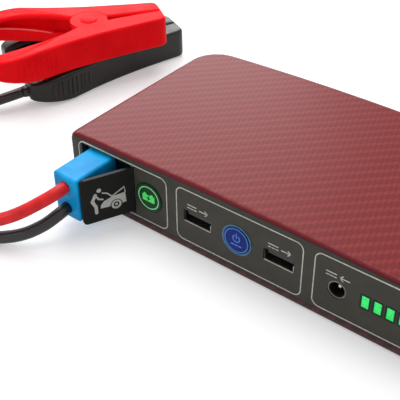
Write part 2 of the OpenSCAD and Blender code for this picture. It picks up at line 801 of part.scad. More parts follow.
// Inner edge, from the jaw's tip past the pivot to the handle's end
inner_edge = concat(
    bezier_run([[jaw_len, -0.3], [24, -0.4], [10, -2.2], [-4, -3]], edge_steps, 0),
    bezier_run([[-4, -3], [-18, -14], [-36, -22], [-handle_reach, -17]], edge_steps, 1)
);
arm_ring = concat(outer_edge, inner_edge);
// Half the arm's thickness, which tapers towards the handle's end
taper_from = 30;
function half_thick(x) =
    let (share = max(0, (-taper_from - x) / (handle_reach - taper_from)))
    clamp_t / 2 - (clamp_t - handle_end_t) / 2 * pow(share, 1.4);
function ring_inset(ring, d) =
    let (n = len(ring))
    [for (i = [0:n - 1])
        let (a = ring[(i + n - 1) % n], b = ring[(i + 1) % n], s = (b - a) / norm(b - a))
        ring[i] + d * [-s[1], s[0]]];
function arm_level(inset, side, dz) =
    [for (p = ring_inset(arm_ring, inset)) [p[0], p[1], side * (half_thick(p[0]) - dz)]];
module arm_blank() {
    loft(concat(
        [for (a = [0:30:90]) arm_level(arm_edge_r * (1 - sin(a)), -1, arm_edge_r * (1 - cos(a)))],
        [for (a = [90:-30:0]) arm_level(arm_edge_r * (1 - sin(a)), 1, arm_edge_r * (1 - cos(a)))]
    ));
}
// Space inside the arm: deep round the spring, and a flat duct for the wire along the handle
jaw_block_x = 12;
spring_room = 16;
duct_roof = 1.6;
module arm_hollow() {
    intersection() {
        loft([arm_level(arm_wall, -1, arm_wall), arm_level(arm_wall, 1, arm_wall)]);
        block([-spring_room, -40, -clamp_t], [jaw_block_x, 0, clamp_t]);
    }
    intersection() {
        loft([arm_level(arm_wall, -1, arm_wall),
              [for (p = ring_inset(arm_ring, arm_wall)) [p[0], p[1], mouth_floor(p[0]) - duct_roof]]]);
        block([-handle_reach, -40, -clamp_t], [-spring_room + 1, 0, clamp_t]);
    }
}
// Open channel in the side of the handle that faces the other arm
mouth_depth = 5;
mouth_least = 2.4;
function mouth_floor(x) =
    min(-2.3 + 0.13 * max(0, -spring_room - 2 - x), half_thick(x) - arm_wall - mouth_least);
module arm_mouth() {
    ring = concat([for (i = [len(inner_edge) - 1:-1:0]) inner_edge[i] - [0, mouth_depth]],
                  [for (p = inner_edge) p + [0, 6]]);
    intersection() {
        loft([[for (p = ring) [p[0], p[1], mouth_floor(p[0])]],
              [for (p = ring) [p[0], p[1], half_thick(p[0]) - arm_wall]]]);
        block([-handle_reach + 5, -40, -clamp_t], [jaw_block_x, 8, clamp_t]);
    }
}
plate_x0 = 13;
plate_x1 = 36.4;
plate_back_y = -1.2 - jaw_t;
plate_h = clamp_t - 2 * arm_wall - 0.4;
module plate_pocket() {
    block([jaw_block_x - eps, plate_back_y - 0.05, -plate_h / 2 - 0.1],
          [plate_x1 + 0.2, 2, plate_h / 2 + 0.1]);
}
// Heights of the ears: the outer pair on the front arm, the inner pair on the back arm
outer_ear_z = clamp_t / 2 - arm_wall;
inner_ear_z = outer_ear_z - gap - arm_wall;
head_r = pivot_r + 1.5;
head_t = 1;
sleeve_r = lead_r + 0.3;
sleeve_y = -20.6;
sleeve_z = -0.9;
sleeve_out = 2.5;
module front_arm() {
    difference() {
        union() {
            difference() {
                arm_blank();
                arm_hollow();
                arm_mouth();
                plate_pocket();
                translate([0, 0, -outer_ear_z]) cylinder(r = ear_r + 0.8, h = 2 * outer_ear_z);
            }
            for (s = [-1, 1]) translate([0, 0, s * (outer_ear_z + arm_wall / 2)])
                cylinder(r = ear_r, h = arm_wall, center = true);
        }
        cylinder(r = pivot_r + seat, h = 2 * clamp_t, center = true);
        for (s = [-1, 1]) translate([0, 0, s * (clamp_t / 2 - head_t + 5)])
            cylinder(r = head_r + seat, h = 10, center = true);
        translate([-handle_reach - 5, sleeve_y, sleeve_z]) rotate([0, 90, 0])
            cylinder(r = sleeve_r + seat, h = 12);
    }
}
// The moving arm, drawn on the same side as the fixed one
module back_arm_solid() {
    difference() {
        union() {
            difference() {
                arm_blank();
                arm_hollow();
                arm_mouth();
                plate_pocket();
                cylinder(r = ear_r + 0.4, h = 2 * clamp_t, center = true);
            }
            for (s = [-1, 1]) scale([1, 1, s]) back_ear();
        }
        cylinder(r = pivot_r + fit, h = 2 * clamp_t, center = true);
    }
}
module back_ear() {
    web_y = 14.2;
    translate([0, 0, inner_ear_z]) {
        cylinder(r = ear_r - 0.5, h = arm_wall);
        translate([-8.5, -web_y, 0]) cube([17, web_y, arm_wall]);
        difference() {
            translate([-8.5, -web_y, 0]) cube([17, 7, arm_wall + gap + 0.1]);
            translate([0, 0, -1]) cylinder(r = ear_r + 0.4, h = 10);
        }
    }
}
module pivot_pin() {
    color([0.7, 0.7, 0.72]) union() {
        cylinder(r = pivot_r, h = clamp_t - head_t, center = true);
        for (s = [-1, 1]) translate([0, 0, s * (clamp_t / 2 - head_t / 2 - 0.05)])
            cylinder(r = head_r, h = head_t - 0.1, center = true);
    }
}
module jaw_plate() {
    teeth = floor((plate_x1 - plate_x0) / tooth_pitch);
    color([0.75, 0.42, 0.25]) translate([0, 0, -plate_h / 2]) linear_extrude(plate_h) polygon(concat(
        [[plate_x1, plate_back_y], [plate_x1, -1.2]],
        [for (i = [teeth - 1:-1:0])
            each [[plate_x0 + (i + 0.5) * tooth_pitch, -0.35], [plate_x0 + i * tooth_pitch, -1.2]]],
        [[plate_x0, plate_back_y]]
    ));
}
module handle_sleeve() {
    color([0.1, 0.1, 0.1]) translate([-handle_reach + 3.5, sleeve_y, sleeve_z]) rotate([0, -90, 0]) {
        cylinder(r = sleeve_r, h = 2.5 + sleeve_out);
        translate([0, 0, 2.5 + sleeve_out]) cylinder(r1 = sleeve_r, r2 = lead_r, h = 1);
    }
}

// A tube of given radius and side count swept along a list of points
function unit(v) = v / norm(v);
function tube_dir(path, i) =
    let (n = len(path)) unit(path[min(i + 1, n - 1)] - path[max(i - 1, 0)]);
function tube_ring(p, dir, up, r, sides, square_to) =
    let (side = unit(cross(dir, up)), top = cross(side, dir))
    [for (k = [0:sides - 1])
        let (a = 360 * k / sides + 180 / sides) p + r * (cos(a) * side + sin(a) * top)];
module tube(path, r, sides, start_dir, end_dir, up = [0, 0, 1]) {
    n = len(path);
    rings = [for (i = [0:n - 1])
        tube_ring(path[i], i == 0 ? start_dir : i == n - 1 ? end_dir : tube_dir(path, i), up, r, sides)];
    last = (n - 1) * sides;
    polyhedron(
        points = [for (ring = rings) each ring],
        faces = concat(
            [for (k = [0:n - 2], i = [0:sides - 1])
                let (a = k * sides + i, b = k * sides + (i + 1) % sides)
                each [[a, b, b + sides], [a, b + sides, a + sides]]],
            [[for (i = [sides - 1:-1:0]) i]],
            [[for (i = [0:sides - 1]) last + i]]
        ),
        convexity = 8
    );
}

// Torsion spring: a leg in each handle and the coil between them
spring_leg = 21;
leg_angle = 40;
curl_rings = 8;
spring_pitch = 2 * wire_r + 0.7;
spring_sweep = 360 * spring_turns + 2 * (90 - leg_angle);
spring_rise = spring_pitch * spring_sweep / 360;
spring_steps = ceil(curl_rings * spring_sweep / 360);
function coil_point(t) =
    let (a = -(90 - leg_angle) + t * spring_sweep)
    [spring_r * cos(a), spring_r * sin(a), (t - 0.5) * spring_rise];
front_leg_dir = [-cos(leg_angle), -sin(leg_angle), 0];
back_leg_dir = [-cos(leg_angle), sin(leg_angle), 0];
spring_path = concat(
    [coil_point(0) + spring_leg * front_leg_dir, coil_point(0) + 2 * wire_r * front_leg_dir],
    [for (i = [0:spring_steps]) coil_point(i / spring_steps)],
    [coil_point(1) + 2 * wire_r * back_leg_dir, coil_point(1) + spring_leg * back_leg_dir]
);
// Least distance between the surfaces of neighbouring curls
curl_gap = min([for (i = [0:spring_steps], j = [0:spring_steps])
    if (abs(i - j) > curl_rings / 2)
        norm(coil_point(i / spring_steps) - coil_point(j / spring_steps))]) - 2 * wire_r;
echo(spring_gap = curl_gap);
module clamp_spring() {
    color([0.7, 0.7, 0.72]) tube(spring_path, wire_r, 6, -front_leg_dir, back_leg_dir);
}

// ---- Places of the clamps and the leads ----
// The cable set is laid out from the middle of the plug's end face, on the floor below it
cable_origin = [plug_x, plug_face_y, 0];
red_pivot = [-84.7, 101.5];
red_turn = 33.5;
black_pivot = [-86.2, 117.5];
black_turn = 25;
black_z = clamp_t / 2;
red_z = clamp_t + stack_gap + clamp_t / 2;
module at_clamp(pivot, turn, z) {
    translate(cable_origin + [pivot[0], pivot[1], z]) rotate(90 - turn) children();
}
module at_red() {
    at_clamp(red_pivot, red_turn, red_z) children();
}
module at_black() {
    at_clamp(black_pivot, black_turn, black_z) children();
}
// A point of a clamp's own frame, seen from the plug
function clamp_point(pivot, turn, z, p) =
    let (u = [sin(turn), cos(turn)], w = [-cos(turn), sin(turn)])
    [pivot[0] + p[0] * u[0] + p[1] * w[0], pivot[1] + p[0] * u[1] + p[1] * w[1], z];
sleeve_end = [-handle_reach - sleeve_out, sleeve_y];
// Routes of the leads' centre lines, from the plug to the sleeves
black_route = concat(
    [[0, 0, contact_low_z], [0, -5, contact_low_z - 0.6], [-2.5, -11, 9], [-7.5, -17, 6],
     [-15, -22, 3.6], [-24, -27, 2.6], [-37, -32, 2.6], [-52, -35, 2.6], [-68, -33, 2.6],
     [-83, -26, 2.6], [-94.5, -15, 2.6], [-101.8, -1, 2.6], [-104.7, 14, 2.6], [-103.6, 28, 3.1],
     [-98.8, 41.5, 4.9]],
    [clamp_point(black_pivot, black_turn, black_z + sleeve_z - 0.7, sleeve_end - [6, 0]),
     clamp_point(black_pivot, black_turn, black_z + sleeve_z, sleeve_end)]
);
red_route = concat(
    [[0, 0, contact_top_z], [0, -5, contact_top_z - 0.3], [-3, -11, 19.8], [-8, -18, 16.5],
     [-15, -23, 13], [-27, -31, 9], [-40, -38, 5.2], [-54, -42, 3], [-69, -43, 2.6],
     [-84, -38.5, 2.6], [-97.5, -28, 2.6], [-106.8, -15, 3.4], [-111.2, -1, 7], [-112.2, 11, 12],
     [-110.2, 21.5, 17], [-106.6, 30.5, 20.6]],
    [clamp_point(red_pivot, red_turn, red_z + sleeve_z - 0.5, sleeve_end - [6, 0]),
     clamp_point(red_pivot, red_turn, red_z + sleeve_z, sleeve_end)]
);
function route_len(route) = [for (i = [1:len(route) - 1]) norm(route[i] - route[i - 1])];
function sum(v, i = 0) = i < len(v) ? v[i] + sum(v, i + 1) : 0;
echo(black_len = sum(route_len(black_route)), red_len = sum(route_len(red_route)));
lead_sides = 10;
module red_lead() {
    color([0.85, 0.15, 0.15]) translate(cable_origin)
        tube(red_route, lead_r, lead_sides, [0, -1, 0], [sin(red_turn), cos(red_turn), 0]);
}
module black_lead() {
    color([0.12, 0.12, 0.12]) translate(cable_origin)
        tube(black_route, lead_r, lead_sides, [0, -1, 0], [sin(black_turn), cos(black_turn), 0]);
}

clamp_red = [0.85, 0.1, 0.13];
clamp_black = [0.14, 0.14, 0.13];
module red_front_arm() {
    color(clamp_red) at_red() front_arm();
}
module red_back_arm() {
    color(clamp_red) at_red() mirror([0, 1, 0]) back_arm_solid();
}
module red_sleeve() {
    at_red() handle_sleeve();
}
module red_pivot_pin() {
    at_red() pivot_pin();
}
module red_spring() {
    at_red() clamp_spring();
}
module red_jaw_front() {
    at_red() jaw_plate();
}
module red_jaw_back() {
    at_red() mirror([0, 1, 0]) jaw_plate();
}
module black_front_arm() {
    color(clamp_black) at_black() front_arm();
}
module black_back_arm() {
    color(clamp_black) at_black() mirror([0, 1, 0]) back_arm_solid();
}
module black_sleeve() {
    at_black() handle_sleeve();
}
module black_pivot_pin() {
    at_black() pivot_pin();
}
module black_spring() {
    at_black() clamp_spring();
}
module black_jaw_front() {
    at_black() jaw_plate();
}
module black_jaw_back() {
    at_black() mirror([0, 1, 0]) jaw_plate();
}

top_shell();
bottom_shell();
front_panel();
shell_screws();
socket_housing();
socket_contact_positive();
socket_contact_negative();
cover_hinge_pin();
usb_shell_left();
usb_shell_right();
usb_tongue_left();
usb_tongue_right();
dc_jack();
dc_jack_pin();
gauge_light_pipe();
gauge_leds();
power_bezel();
start_switch();
power_switch();
main_board();
board_screws();
board_capacitors();
board_inductor();
start_relay();
positive_lead_front();
positive_lead_rear();
negative_lead();
terminal_positive();
terminal_negative();
link_board();
cell_bottom();
cell_middle();
cell_top();
cell_pad_bottom();
cell_pad_top();
start_button();
start_light_ring();
power_button();
power_light_ring();
socket_cover();
plug_shell();
plug_pin_positive();
plug_pin_negative();
red_lead();
black_lead();
red_front_arm();
red_sleeve();
red_pivot_pin();
red_spring();
red_jaw_front();
red_back_arm();
red_jaw_back();
black_front_arm();
black_sleeve();
black_pivot_pin();
black_spring();
black_jaw_front();
black_back_arm();
black_jaw_back();
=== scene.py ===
import math

import bpy
from mathutils import Matrix, Vector


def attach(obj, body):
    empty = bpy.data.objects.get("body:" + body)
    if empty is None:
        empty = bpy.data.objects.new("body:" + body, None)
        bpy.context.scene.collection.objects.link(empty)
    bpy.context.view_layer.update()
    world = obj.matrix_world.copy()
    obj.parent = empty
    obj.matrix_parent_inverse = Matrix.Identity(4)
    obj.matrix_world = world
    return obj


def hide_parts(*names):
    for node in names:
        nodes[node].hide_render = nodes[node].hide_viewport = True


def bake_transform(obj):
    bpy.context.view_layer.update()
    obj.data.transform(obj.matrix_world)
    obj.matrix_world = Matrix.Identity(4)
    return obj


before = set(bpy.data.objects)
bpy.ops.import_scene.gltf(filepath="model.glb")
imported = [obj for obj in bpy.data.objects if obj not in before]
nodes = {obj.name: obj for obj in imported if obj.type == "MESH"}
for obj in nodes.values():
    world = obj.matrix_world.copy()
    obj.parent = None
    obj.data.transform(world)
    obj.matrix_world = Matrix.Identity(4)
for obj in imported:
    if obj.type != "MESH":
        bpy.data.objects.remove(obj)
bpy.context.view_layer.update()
MM = 0.001
scene = bpy.context.scene
scene.view_settings.view_transform = "Standard"

# ---- Camera ----
cam_data = bpy.data.cameras.new("camera")
cam_data.lens = 77.08
cam_data.sensor_width = 36
cam = bpy.data.objects.new("camera", cam_data)
scene.collection.objects.link(cam)
right = Vector((0.78507, 0.61937, -0.00712))
up = Vector((-0.36837, 0.47610, 0.79852))
axes = Matrix((right, up, right.cross(up))).transposed()
cam.matrix_world = Matrix.Translation((0.1422, -0.2485, 0.2205)) @ axes.to_4x4()
scene.camera = cam


# ---- Mesh helpers: every length is in millimetres until it reaches the mesh ----
def mesh_piece(name, points, faces, material, body, smooth=True, hides=()):
    me = bpy.data.meshes.new(name)
    me.from_pydata([Vector(p) * MM for p in points], [], faces)
    me.validate()
    for p in me.polygons:
        p.use_smooth = smooth
    o = bpy.data.objects.new(name, me)
    scene.collection.objects.link(o)
    o.data.materials.append(material.mat)
    if body:
        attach(o, body)
    if hides:
        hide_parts(*hides)
    return o


def spline(points, per_span):
    """Catmull-Rom curve through the points."""
    p = [Vector(q) for q in points]
    p = [2 * p[0] - p[1]] + p + [2 * p[-1] - p[-2]]
    out = []
    for i in range(1, len(p) - 2):
        a, b, c, d = p[i - 1:i + 3]
        for k in range(per_span):
            t = k / per_span
            out.append(0.5 * (2 * b + (c - a) * t + (2 * a - 5 * b + 4 * c - d) * t ** 2
                              + (3 * b - a - 3 * c + d) * t ** 3))
    return out + [p[-2]]


def tube_mesh(path, radius, sides):
    """Points and faces of a round tube with closed ends, along a path."""
    n = len(path)
    points, faces, side = [], [], None
    for i, p in enumerate(path):
        d = (path[min(i + 1, n - 1)] - path[max(i - 1, 0)]).normalized()
        if side is None:
            side = d.cross(Vector((0, 0, 1)))
            side = side if side.length > 0.1 else d.cross(Vector((0, 1, 0)))
        side = (side - d * side.dot(d)).normalized()
        top = side.cross(d)
        for k in range(sides):
            a = 2 * math.pi * k / sides
            points.append(p + radius * (math.cos(a) * side + math.sin(a) * top))
    for i in range(n - 1):
        for k in range(sides):
            a, b = i * sides + k, i * sides + (k + 1) % sides
            faces.append((a, b, b + sides, a + sides))
    faces.append(tuple(range(sides))[::-1])
    faces.append(tuple((n - 1) * sides + k for k in range(sides)))
    return points, faces


class Face:
    """A flat place on the object: 2-D marks on it are raised by a little."""

    def __init__(self, origin, across, upwards, body):
        self.o, self.u, self.v = Vector(origin), Vector(across), Vector(upwards)
        self.n = self.u.cross(self.v)
        self.body = body

    def at(self, p, h):
        return self.o + self.u * p[0] + self.v * p[1] + self.n * h

    def prisms(self, shapes, height, sunk, points, faces):
        """Adds each outline as a flat prism. An outline is a list of points, or a pair (outer, inner)."""
        for shape in shapes:
            if isinstance(shape, tuple):
                outer, inner = shape
                n = len(outer)
                base = len(points)
                for h in (-sunk, height):
                    points += [self.at(p, h) for p in outer] + [self.at(p, h) for p in inner]
                for k in range(n):
                    j = (k + 1) % n
                    lo, li, ho, hi = base, base + n, base + 2 * n, base + 3 * n
                    faces += [(ho + k, ho + j, hi + j, hi + k), (lo + k, li + k, li + j, lo + j),
                              (lo + k, lo + j, ho + j, ho + k), (li + j, li + k, hi + k, hi + j)]
            else:
                n, base = len(shape), len(points)
                points += [self.at(p, -sunk) for p in shape] + [self.at(p, height) for p in shape]
                faces += [tuple(base + n + k for k in range(n)),
                          tuple(base + k for k in reversed(range(n)))]
                faces += [(base + k, base + (k + 1) % n, base + n + (k + 1) % n, base + n + k)
                          for k in range(n)]

    def mark(self, name, shapes, material, height=0.06, sunk=0.02):
        points, faces = [], []
        self.prisms(shapes, height, sunk, points, faces)
        return mesh_piece(name, points, faces, material, self.body, smooth=False)


def ring2(c, r0, r1, a0=0.0, a1=360.0, n=64):
    """A ring, or a part of one as an outline."""
    whole = abs(a1 - a0) >= 360
    steps = [math.radians(a0 + (a1 - a0) * k / n) for k in range(n if whole else n + 1)]
    outer = [(c[0] + r1 * math.cos(a), c[1] + r1 * math.sin(a)) for a in steps]
    inner = [(c[0] + r0 * math.cos(a), c[1] + r0 * math.sin(a)) for a in steps]
    return (outer, inner) if whole else outer + inner[::-1]


def disc2(c, r, n):
    steps = [2 * math.pi * k / n for k in range(n)]
    return [(c[0] + r * math.cos(a), c[1] + r * math.sin(a)) for a in steps]


def round_box(x0, x1, y0, y1, r, n=8):
    out = []
    corners = ((x1 - r, y0 + r, -90), (x1 - r, y1 - r, 0), (x0 + r, y1 - r, 90), (x0 + r, y0 + r, 180))
    for cx, cy, a0 in corners:
        for k in range(n + 1):
            a = math.radians(a0 + 90 * k / n)
            out.append((cx + r * math.cos(a), cy + r * math.sin(a)))
    return out


def frame2(x0, x1, y0, y1, r, w):
    """A frame line of width w whose middle follows a box with rounded corners."""
    h = w / 2
    return (round_box(x0 - h, x1 + h, y0 - h, y1 + h, r + h),
            round_box(x0 + h, x1 - h, y0 + h, y1 - h, r - h))


CAP_STEPS = 6


def stroke(points, w):
    """The outline of a line of width w with round ends."""
    p = [Vector(q) for q in points]
    left, rights = [], []
    for i, q in enumerate(p):
        d = (p[min(i + 1, len(p) - 1)] - p[max(i - 1, 0)]).normalized()
        nrm = Vector((-d.y, d.x))
        if 0 < i < len(p) - 1:
            d0 = (p[i] - p[i - 1]).normalized()
            nrm = nrm / max(0.5, nrm.dot(Vector((-d0.y, d0.x))))
        left.append(q + nrm * w / 2)
        rights.append(q - nrm * w / 2)

    def cap(q, d):
        a0 = math.atan2(d.y, d.x) + math.pi / 2
        turns = [a0 - math.pi * k / CAP_STEPS for k in range(1, CAP_STEPS)]
        return [q + Vector((math.cos(a), math.sin(a))) * w / 2 for a in turns]
    end = cap(p[-1], p[-1] - p[-2])
    start = cap(p[0], p[0] - p[1])
    return [tuple(q) for q in (left + end + rights[::-1] + start)][::-1]


# ---- Materials ----
def lin(c):
    return tuple(v / 255 / 12.92 if v <= 10 else ((v / 255 + 0.055) / 1.055) ** 2.4 for v in c) + (1.0,)


def add_node(tree, kind, inputs=(), **props):
    """A shader node. Each input is a value or another node's socket."""
    n = tree.nodes.new("ShaderNode" + kind)
    for k, v in props.items():
        setattr(n, k, v)
    for k, v in dict(inputs).items():
        if isinstance(v, bpy.types.NodeSocket):
            tree.links.new(v, n.inputs[k])
        else:
            n.inputs[k].default_value = v
    return n


def add_math(tree, op, a, b=0.0):
    return add_node(tree, "Math", {0: a, 1: b}, operation=op).outputs[0]


COAT_ROUGH = 0.08


class Mat:
    """A Principled material whose colour, roughness and bump come from object coordinates in millimetres."""

    def __init__(self, name, color, rough, metal=0.0, coat=0.0, specular=0.5, glow=0.0):
        self.mat = bpy.data.materials.new(name)
        self.mat.use_nodes = True
        self.tree = self.mat.node_tree
        self.b = self.tree.nodes["Principled BSDF"]
        for key, value in (("Base Color", lin(color)), ("Roughness", rough), ("Metallic", metal),
                           ("Coat Weight", coat), ("Coat Roughness", COAT_ROUGH),
                           ("Specular IOR Level", specular), ("Emission Color", lin(color)),
                           ("Emission Strength", glow)):
            self.b.inputs[key].default_value = value
        self.color = color
        self.last_bump = None
        tc = self.node("TexCoord")
        scaled = {"Vector": tc.outputs["Object"], "Scale": (1 / MM,) * 3}
        self.mm = self.node("Mapping", scaled).outputs[0]
        self.normal = tc.outputs["Normal"]

    def node(self, kind, inputs=(), **props):
        return add_node(self.tree, kind, inputs, **props)

    def math(self, op, a, b=0.0):
        return add_math(self.tree, op, a, b)

    def noise(self, size, detail=2.0):
        """Noise whose largest cells are about size mm."""
        return self.node("TexNoise", {"Vector": self.mm, "Scale": 1 / size, "Detail": detail}).outputs["Fac"]

    def voronoi(self, size):
        return self.node("TexVoronoi", {"Vector": self.mm, "Scale": 1 / size}).outputs["Distance"]

    def span(self, fac, lo, hi, to_lo=0.0, to_hi=1.0):
        return self.node("MapRange", {0: fac, 1: lo, 2: hi, 3: to_lo, 4: to_hi}).outputs[0]

    def mix(self, fac, a, b):
        """A blend of two colours. In a Mix node they are inputs 6 and 7, and output 2."""
        return self.node("Mix", {0: fac, 6: a, 7: b}, data_type="RGBA").outputs[2]

    def use(self, key, socket):
        self.tree.links.new(socket, self.b.inputs[key])
        return self

    def bump(self, height, strength, distance):
        """distance is in mm, and each bump adds to the one before."""
        ins = {"Height": height, "Strength": strength, "Distance": distance * MM}
        if self.last_bump:
            ins["Normal"] = self.last_bump
        self.last_bump = self.node("Bump", ins).outputs[0]
        return self.use("Normal", self.last_bump)

    def vary(self, other, size, lo=0.35, hi=0.65, detail=3.0):
        """Mottles the base colour towards another."""
        share = self.span(self.noise(size, detail), lo, hi)
        return self.use("Base Color", self.mix(share, lin(self.color), lin(other)))

    def smudge(self, size, lo, hi):
        """Varies the roughness from lo to hi."""
        return self.use("Roughness", self.span(self.noise(size, 4.0), 0.3, 0.7, lo, hi))


THREAD = 1.62


def twill(m, dark, light, painted_shade=None):
    """2/2 twill on all sides: two threads over, two under, the next thread shifted by one.

    Colours m, and paints a given darker colour as painted shade where a surface isn't level, on the roundings
    and sides, and returns the threads' height."""
    sep = m.node("SeparateXYZ", {0: m.mm})
    ns = m.node("SeparateXYZ", {0: m.normal})
    x, y, z = sep.outputs
    ax, az = m.math("ABSOLUTE", ns.outputs[0]), m.math("ABSOLUTE", ns.outputs[2])
    flat = m.math("GREATER_THAN", az, 0.6)
    end = m.math("GREATER_THAN", ax, 0.7)
    side_u = m.math("ADD", m.math("MULTIPLY", y, end), m.math("MULTIPLY", x, m.math("SUBTRACT", 1.0, end)))
    u = m.math("ADD", m.math("MULTIPLY", x, flat), m.math("MULTIPLY", side_u, m.math("SUBTRACT", 1.0, flat)))
    v = m.math("ADD", m.math("MULTIPLY", y, flat), m.math("MULTIPLY", z, m.math("SUBTRACT", 1.0, flat)))
    wob = m.math("MULTIPLY", m.math("SUBTRACT", m.noise(9, 2), 0.5), 0.25)
    a = m.math("DIVIDE", m.math("ADD", u, wob), THREAD)
    b = m.math("DIVIDE", m.math("ADD", v, wob), THREAD)
    i, j = m.math("FLOOR", a), m.math("FLOOR", b)
    fu, fv = m.math("SUBTRACT", a, i), m.math("SUBTRACT", b, j)
    s = m.math("FLOORED_MODULO", m.math("SUBTRACT", i, j), 4.0)
    warp = m.math("LESS_THAN", s, 1.5)
    along_warp = m.math("DIVIDE", m.math("ADD", m.math("SUBTRACT", 1.0, s), fv), 2.0)
    along_weft = m.math("DIVIDE", m.math("ADD", m.math("SUBTRACT", s, 2.0), fu), 2.0)

    def arch(t):
        return m.math("SINE", m.math("MULTIPLY", t, math.pi))

    def thread(along, across):
        return m.math("POWER", m.math("MAXIMUM", m.math("MULTIPLY", arch(along), arch(across)), 0.0), 0.4)

    def over(share, a, b):
        rest = m.math("SUBTRACT", 1.0, share)
        return m.math("ADD", m.math("MULTIPLY", a, share), m.math("MULTIPLY", b, rest))
    height = over(warp, thread(along_warp, fu), thread(along_weft, fv))
    stretched = m.node("CombineXYZ", {0: m.math("MULTIPLY", u, 5.0), 1: v}).outputs[0]
    strands = m.node("TexNoise", {"Vector": stretched, "Scale": 0.6, "Detail": 2.0}).outputs["Fac"]
    relief = m.math("MULTIPLY", m.math("SUBTRACT", height, 0.5), 0.7)
    tone = m.math("ADD", m.math("MULTIPLY", warp, 0.55), relief)
    tone = m.math("ADD", tone, m.math("MULTIPLY", m.math("SUBTRACT", strands, 0.5), 0.5))
    color = m.mix(m.span(tone, -0.2, 1.0), lin(dark), lin(light))
    # Painted shade: a darker colour where the surface tilts away from level
    if painted_shade:
        color = m.mix(m.span(az, 0.9, 0.985), lin(painted_shade), color)
    m.use("Base Color", color)
    return height


M = {}


def new_mat(name, *args, **kwargs):
    M[name] = Mat(name, *args, **kwargs)
    return M[name]


# Red casing: a woven look under a smooth surface, with painted shade on its roundings and sides
m = new_mat("red_case", (118, 42, 43), 0.34, specular=0.1)
m.bump(twill(m, (107, 30, 32), (138, 50, 51), painted_shade=(98, 26, 34)), 0.18, 0.1)
# Dark red lip
m = new_mat("lip_case", (74, 40, 43), 0.42, specular=0.15)
m.bump(twill(m, (54, 38, 38), (90, 52, 55)), 0.3, 0.12)
# Panel and other plastics
m = new_mat("panel_plastic", (58, 56, 49), 0.48, specular=0.22)
m.vary((51, 50, 43), 7).smudge(16, 0.42, 0.54).bump(m.voronoi(0.28), 0.12, 0.05)
m = new_mat("black_plastic", (27, 25, 24), 0.36)
m.vary((21, 20, 19), 5).smudge(9, 0.28, 0.44).bump(m.noise(0.25), 0.1, 0.04)
m = new_mat("cover_plastic", (15, 15, 13), 0.32, specular=0.12)
m.vary((11, 12, 10), 6).smudge(7, 0.28, 0.42).bump(m.noise(0.2, 3), 0.14, 0.04)
m = new_mat("plug_blue", (20, 170, 234), 0.4, specular=0.1)
m.vary((10, 146, 214), 9).smudge(5, 0.28, 0.42).bump(m.noise(0.3, 3), 0.12, 0.05)
m = new_mat("clamp_red", (254, 21, 29), 0.44, specular=0.035)
m.vary((244, 15, 25), 12).smudge(10, 0.36, 0.48)
m.bump(m.noise(2.2, 2), 0.05, 0.2).bump(m.noise(0.35, 2), 0.06, 0.04)
m = new_mat("clamp_black", (36, 34, 29), 0.36, specular=0.28)
m.vary((30, 29, 26), 9).smudge(8, 0.26, 0.4)
m.bump(m.noise(2.0, 2), 0.06, 0.2).bump(m.noise(0.3, 3), 0.12, 0.05)
# Painted highlight: lighter, glossier colours for the rounded lower lips of the handle channels
m = new_mat("edge_red", (255, 104, 104), 0.24, specular=0.4)
m.vary((246, 72, 76), 4).bump(m.noise(0.5, 2), 0.06, 0.03)
m = new_mat("edge_black", (74, 72, 67), 0.3, specular=0.4)
m.vary((54, 52, 48), 4).bump(m.noise(0.5, 2), 0.06, 0.03)
m = new_mat("lead_red", (232, 32, 34), 0.34, specular=0.28)
m.vary((205, 26, 34), 5).smudge(3, 0.3, 0.46).bump(m.noise(0.5, 2), 0.08, 0.05)
m = new_mat("lead_black", (30, 29, 27), 0.3, specular=0.5)
m.vary((25, 24, 23), 5).smudge(3, 0.24, 0.4).bump(m.noise(0.5, 2), 0.1, 0.05)
# Metals
m = new_mat("steel", (196, 196, 198), 0.25, metal=1.0)
m.vary((170, 170, 172), 2.5).smudge(1.5, 0.18, 0.36).bump(m.noise(0.15, 3), 0.1, 0.02)
m = new_mat("brass", (214, 174, 96), 0.24, metal=1.0)
m.vary((196, 152, 78), 2.5).smudge(1.5, 0.18, 0.34).bump(m.noise(0.2, 3), 0.08, 0.02)
m = new_mat("copper", (206, 128, 92), 0.3, metal=1.0)
m.vary((178, 100, 66), 3).smudge(1.6, 0.22, 0.42).bump(m.noise(0.2, 3), 0.12, 0.03)
# Inside
m = new_mat("socket_dark", (12, 20, 34), 0.2, specular=0.6)
m.vary((8, 14, 26), 5).smudge(6, 0.14, 0.28).bump(m.noise(0.4), 0.06, 0.03)
m = new_mat("board", (20, 82, 50), 0.4, coat=0.3)
m.vary((14, 66, 40), 1.6, 0.47, 0.53, 0.0).bump(m.noise(0.4), 0.1, 0.03)
m = new_mat("cell_foil", (188, 190, 194), 0.34, metal=0.9)
m.vary((166, 168, 172), 6).smudge(4, 0.26, 0.45).bump(m.noise(3, 3), 0.25, 0.2)
m = new_mat("foam", (52, 52, 54), 0.9)
m.vary((40, 40, 42), 1.2).bump(m.voronoi(0.5), 0.5, 0.15)
m = new_mat("relay_plastic", (34, 36, 44), 0.42)
m.vary((28, 30, 37), 4).bump(m.noise(0.3), 0.12, 0.04)
m = new_mat("lamp", (236, 232, 206), 0.4)
m.vary((222, 214, 176), 0.8).bump(m.noise(0.3), 0.08, 0.03)
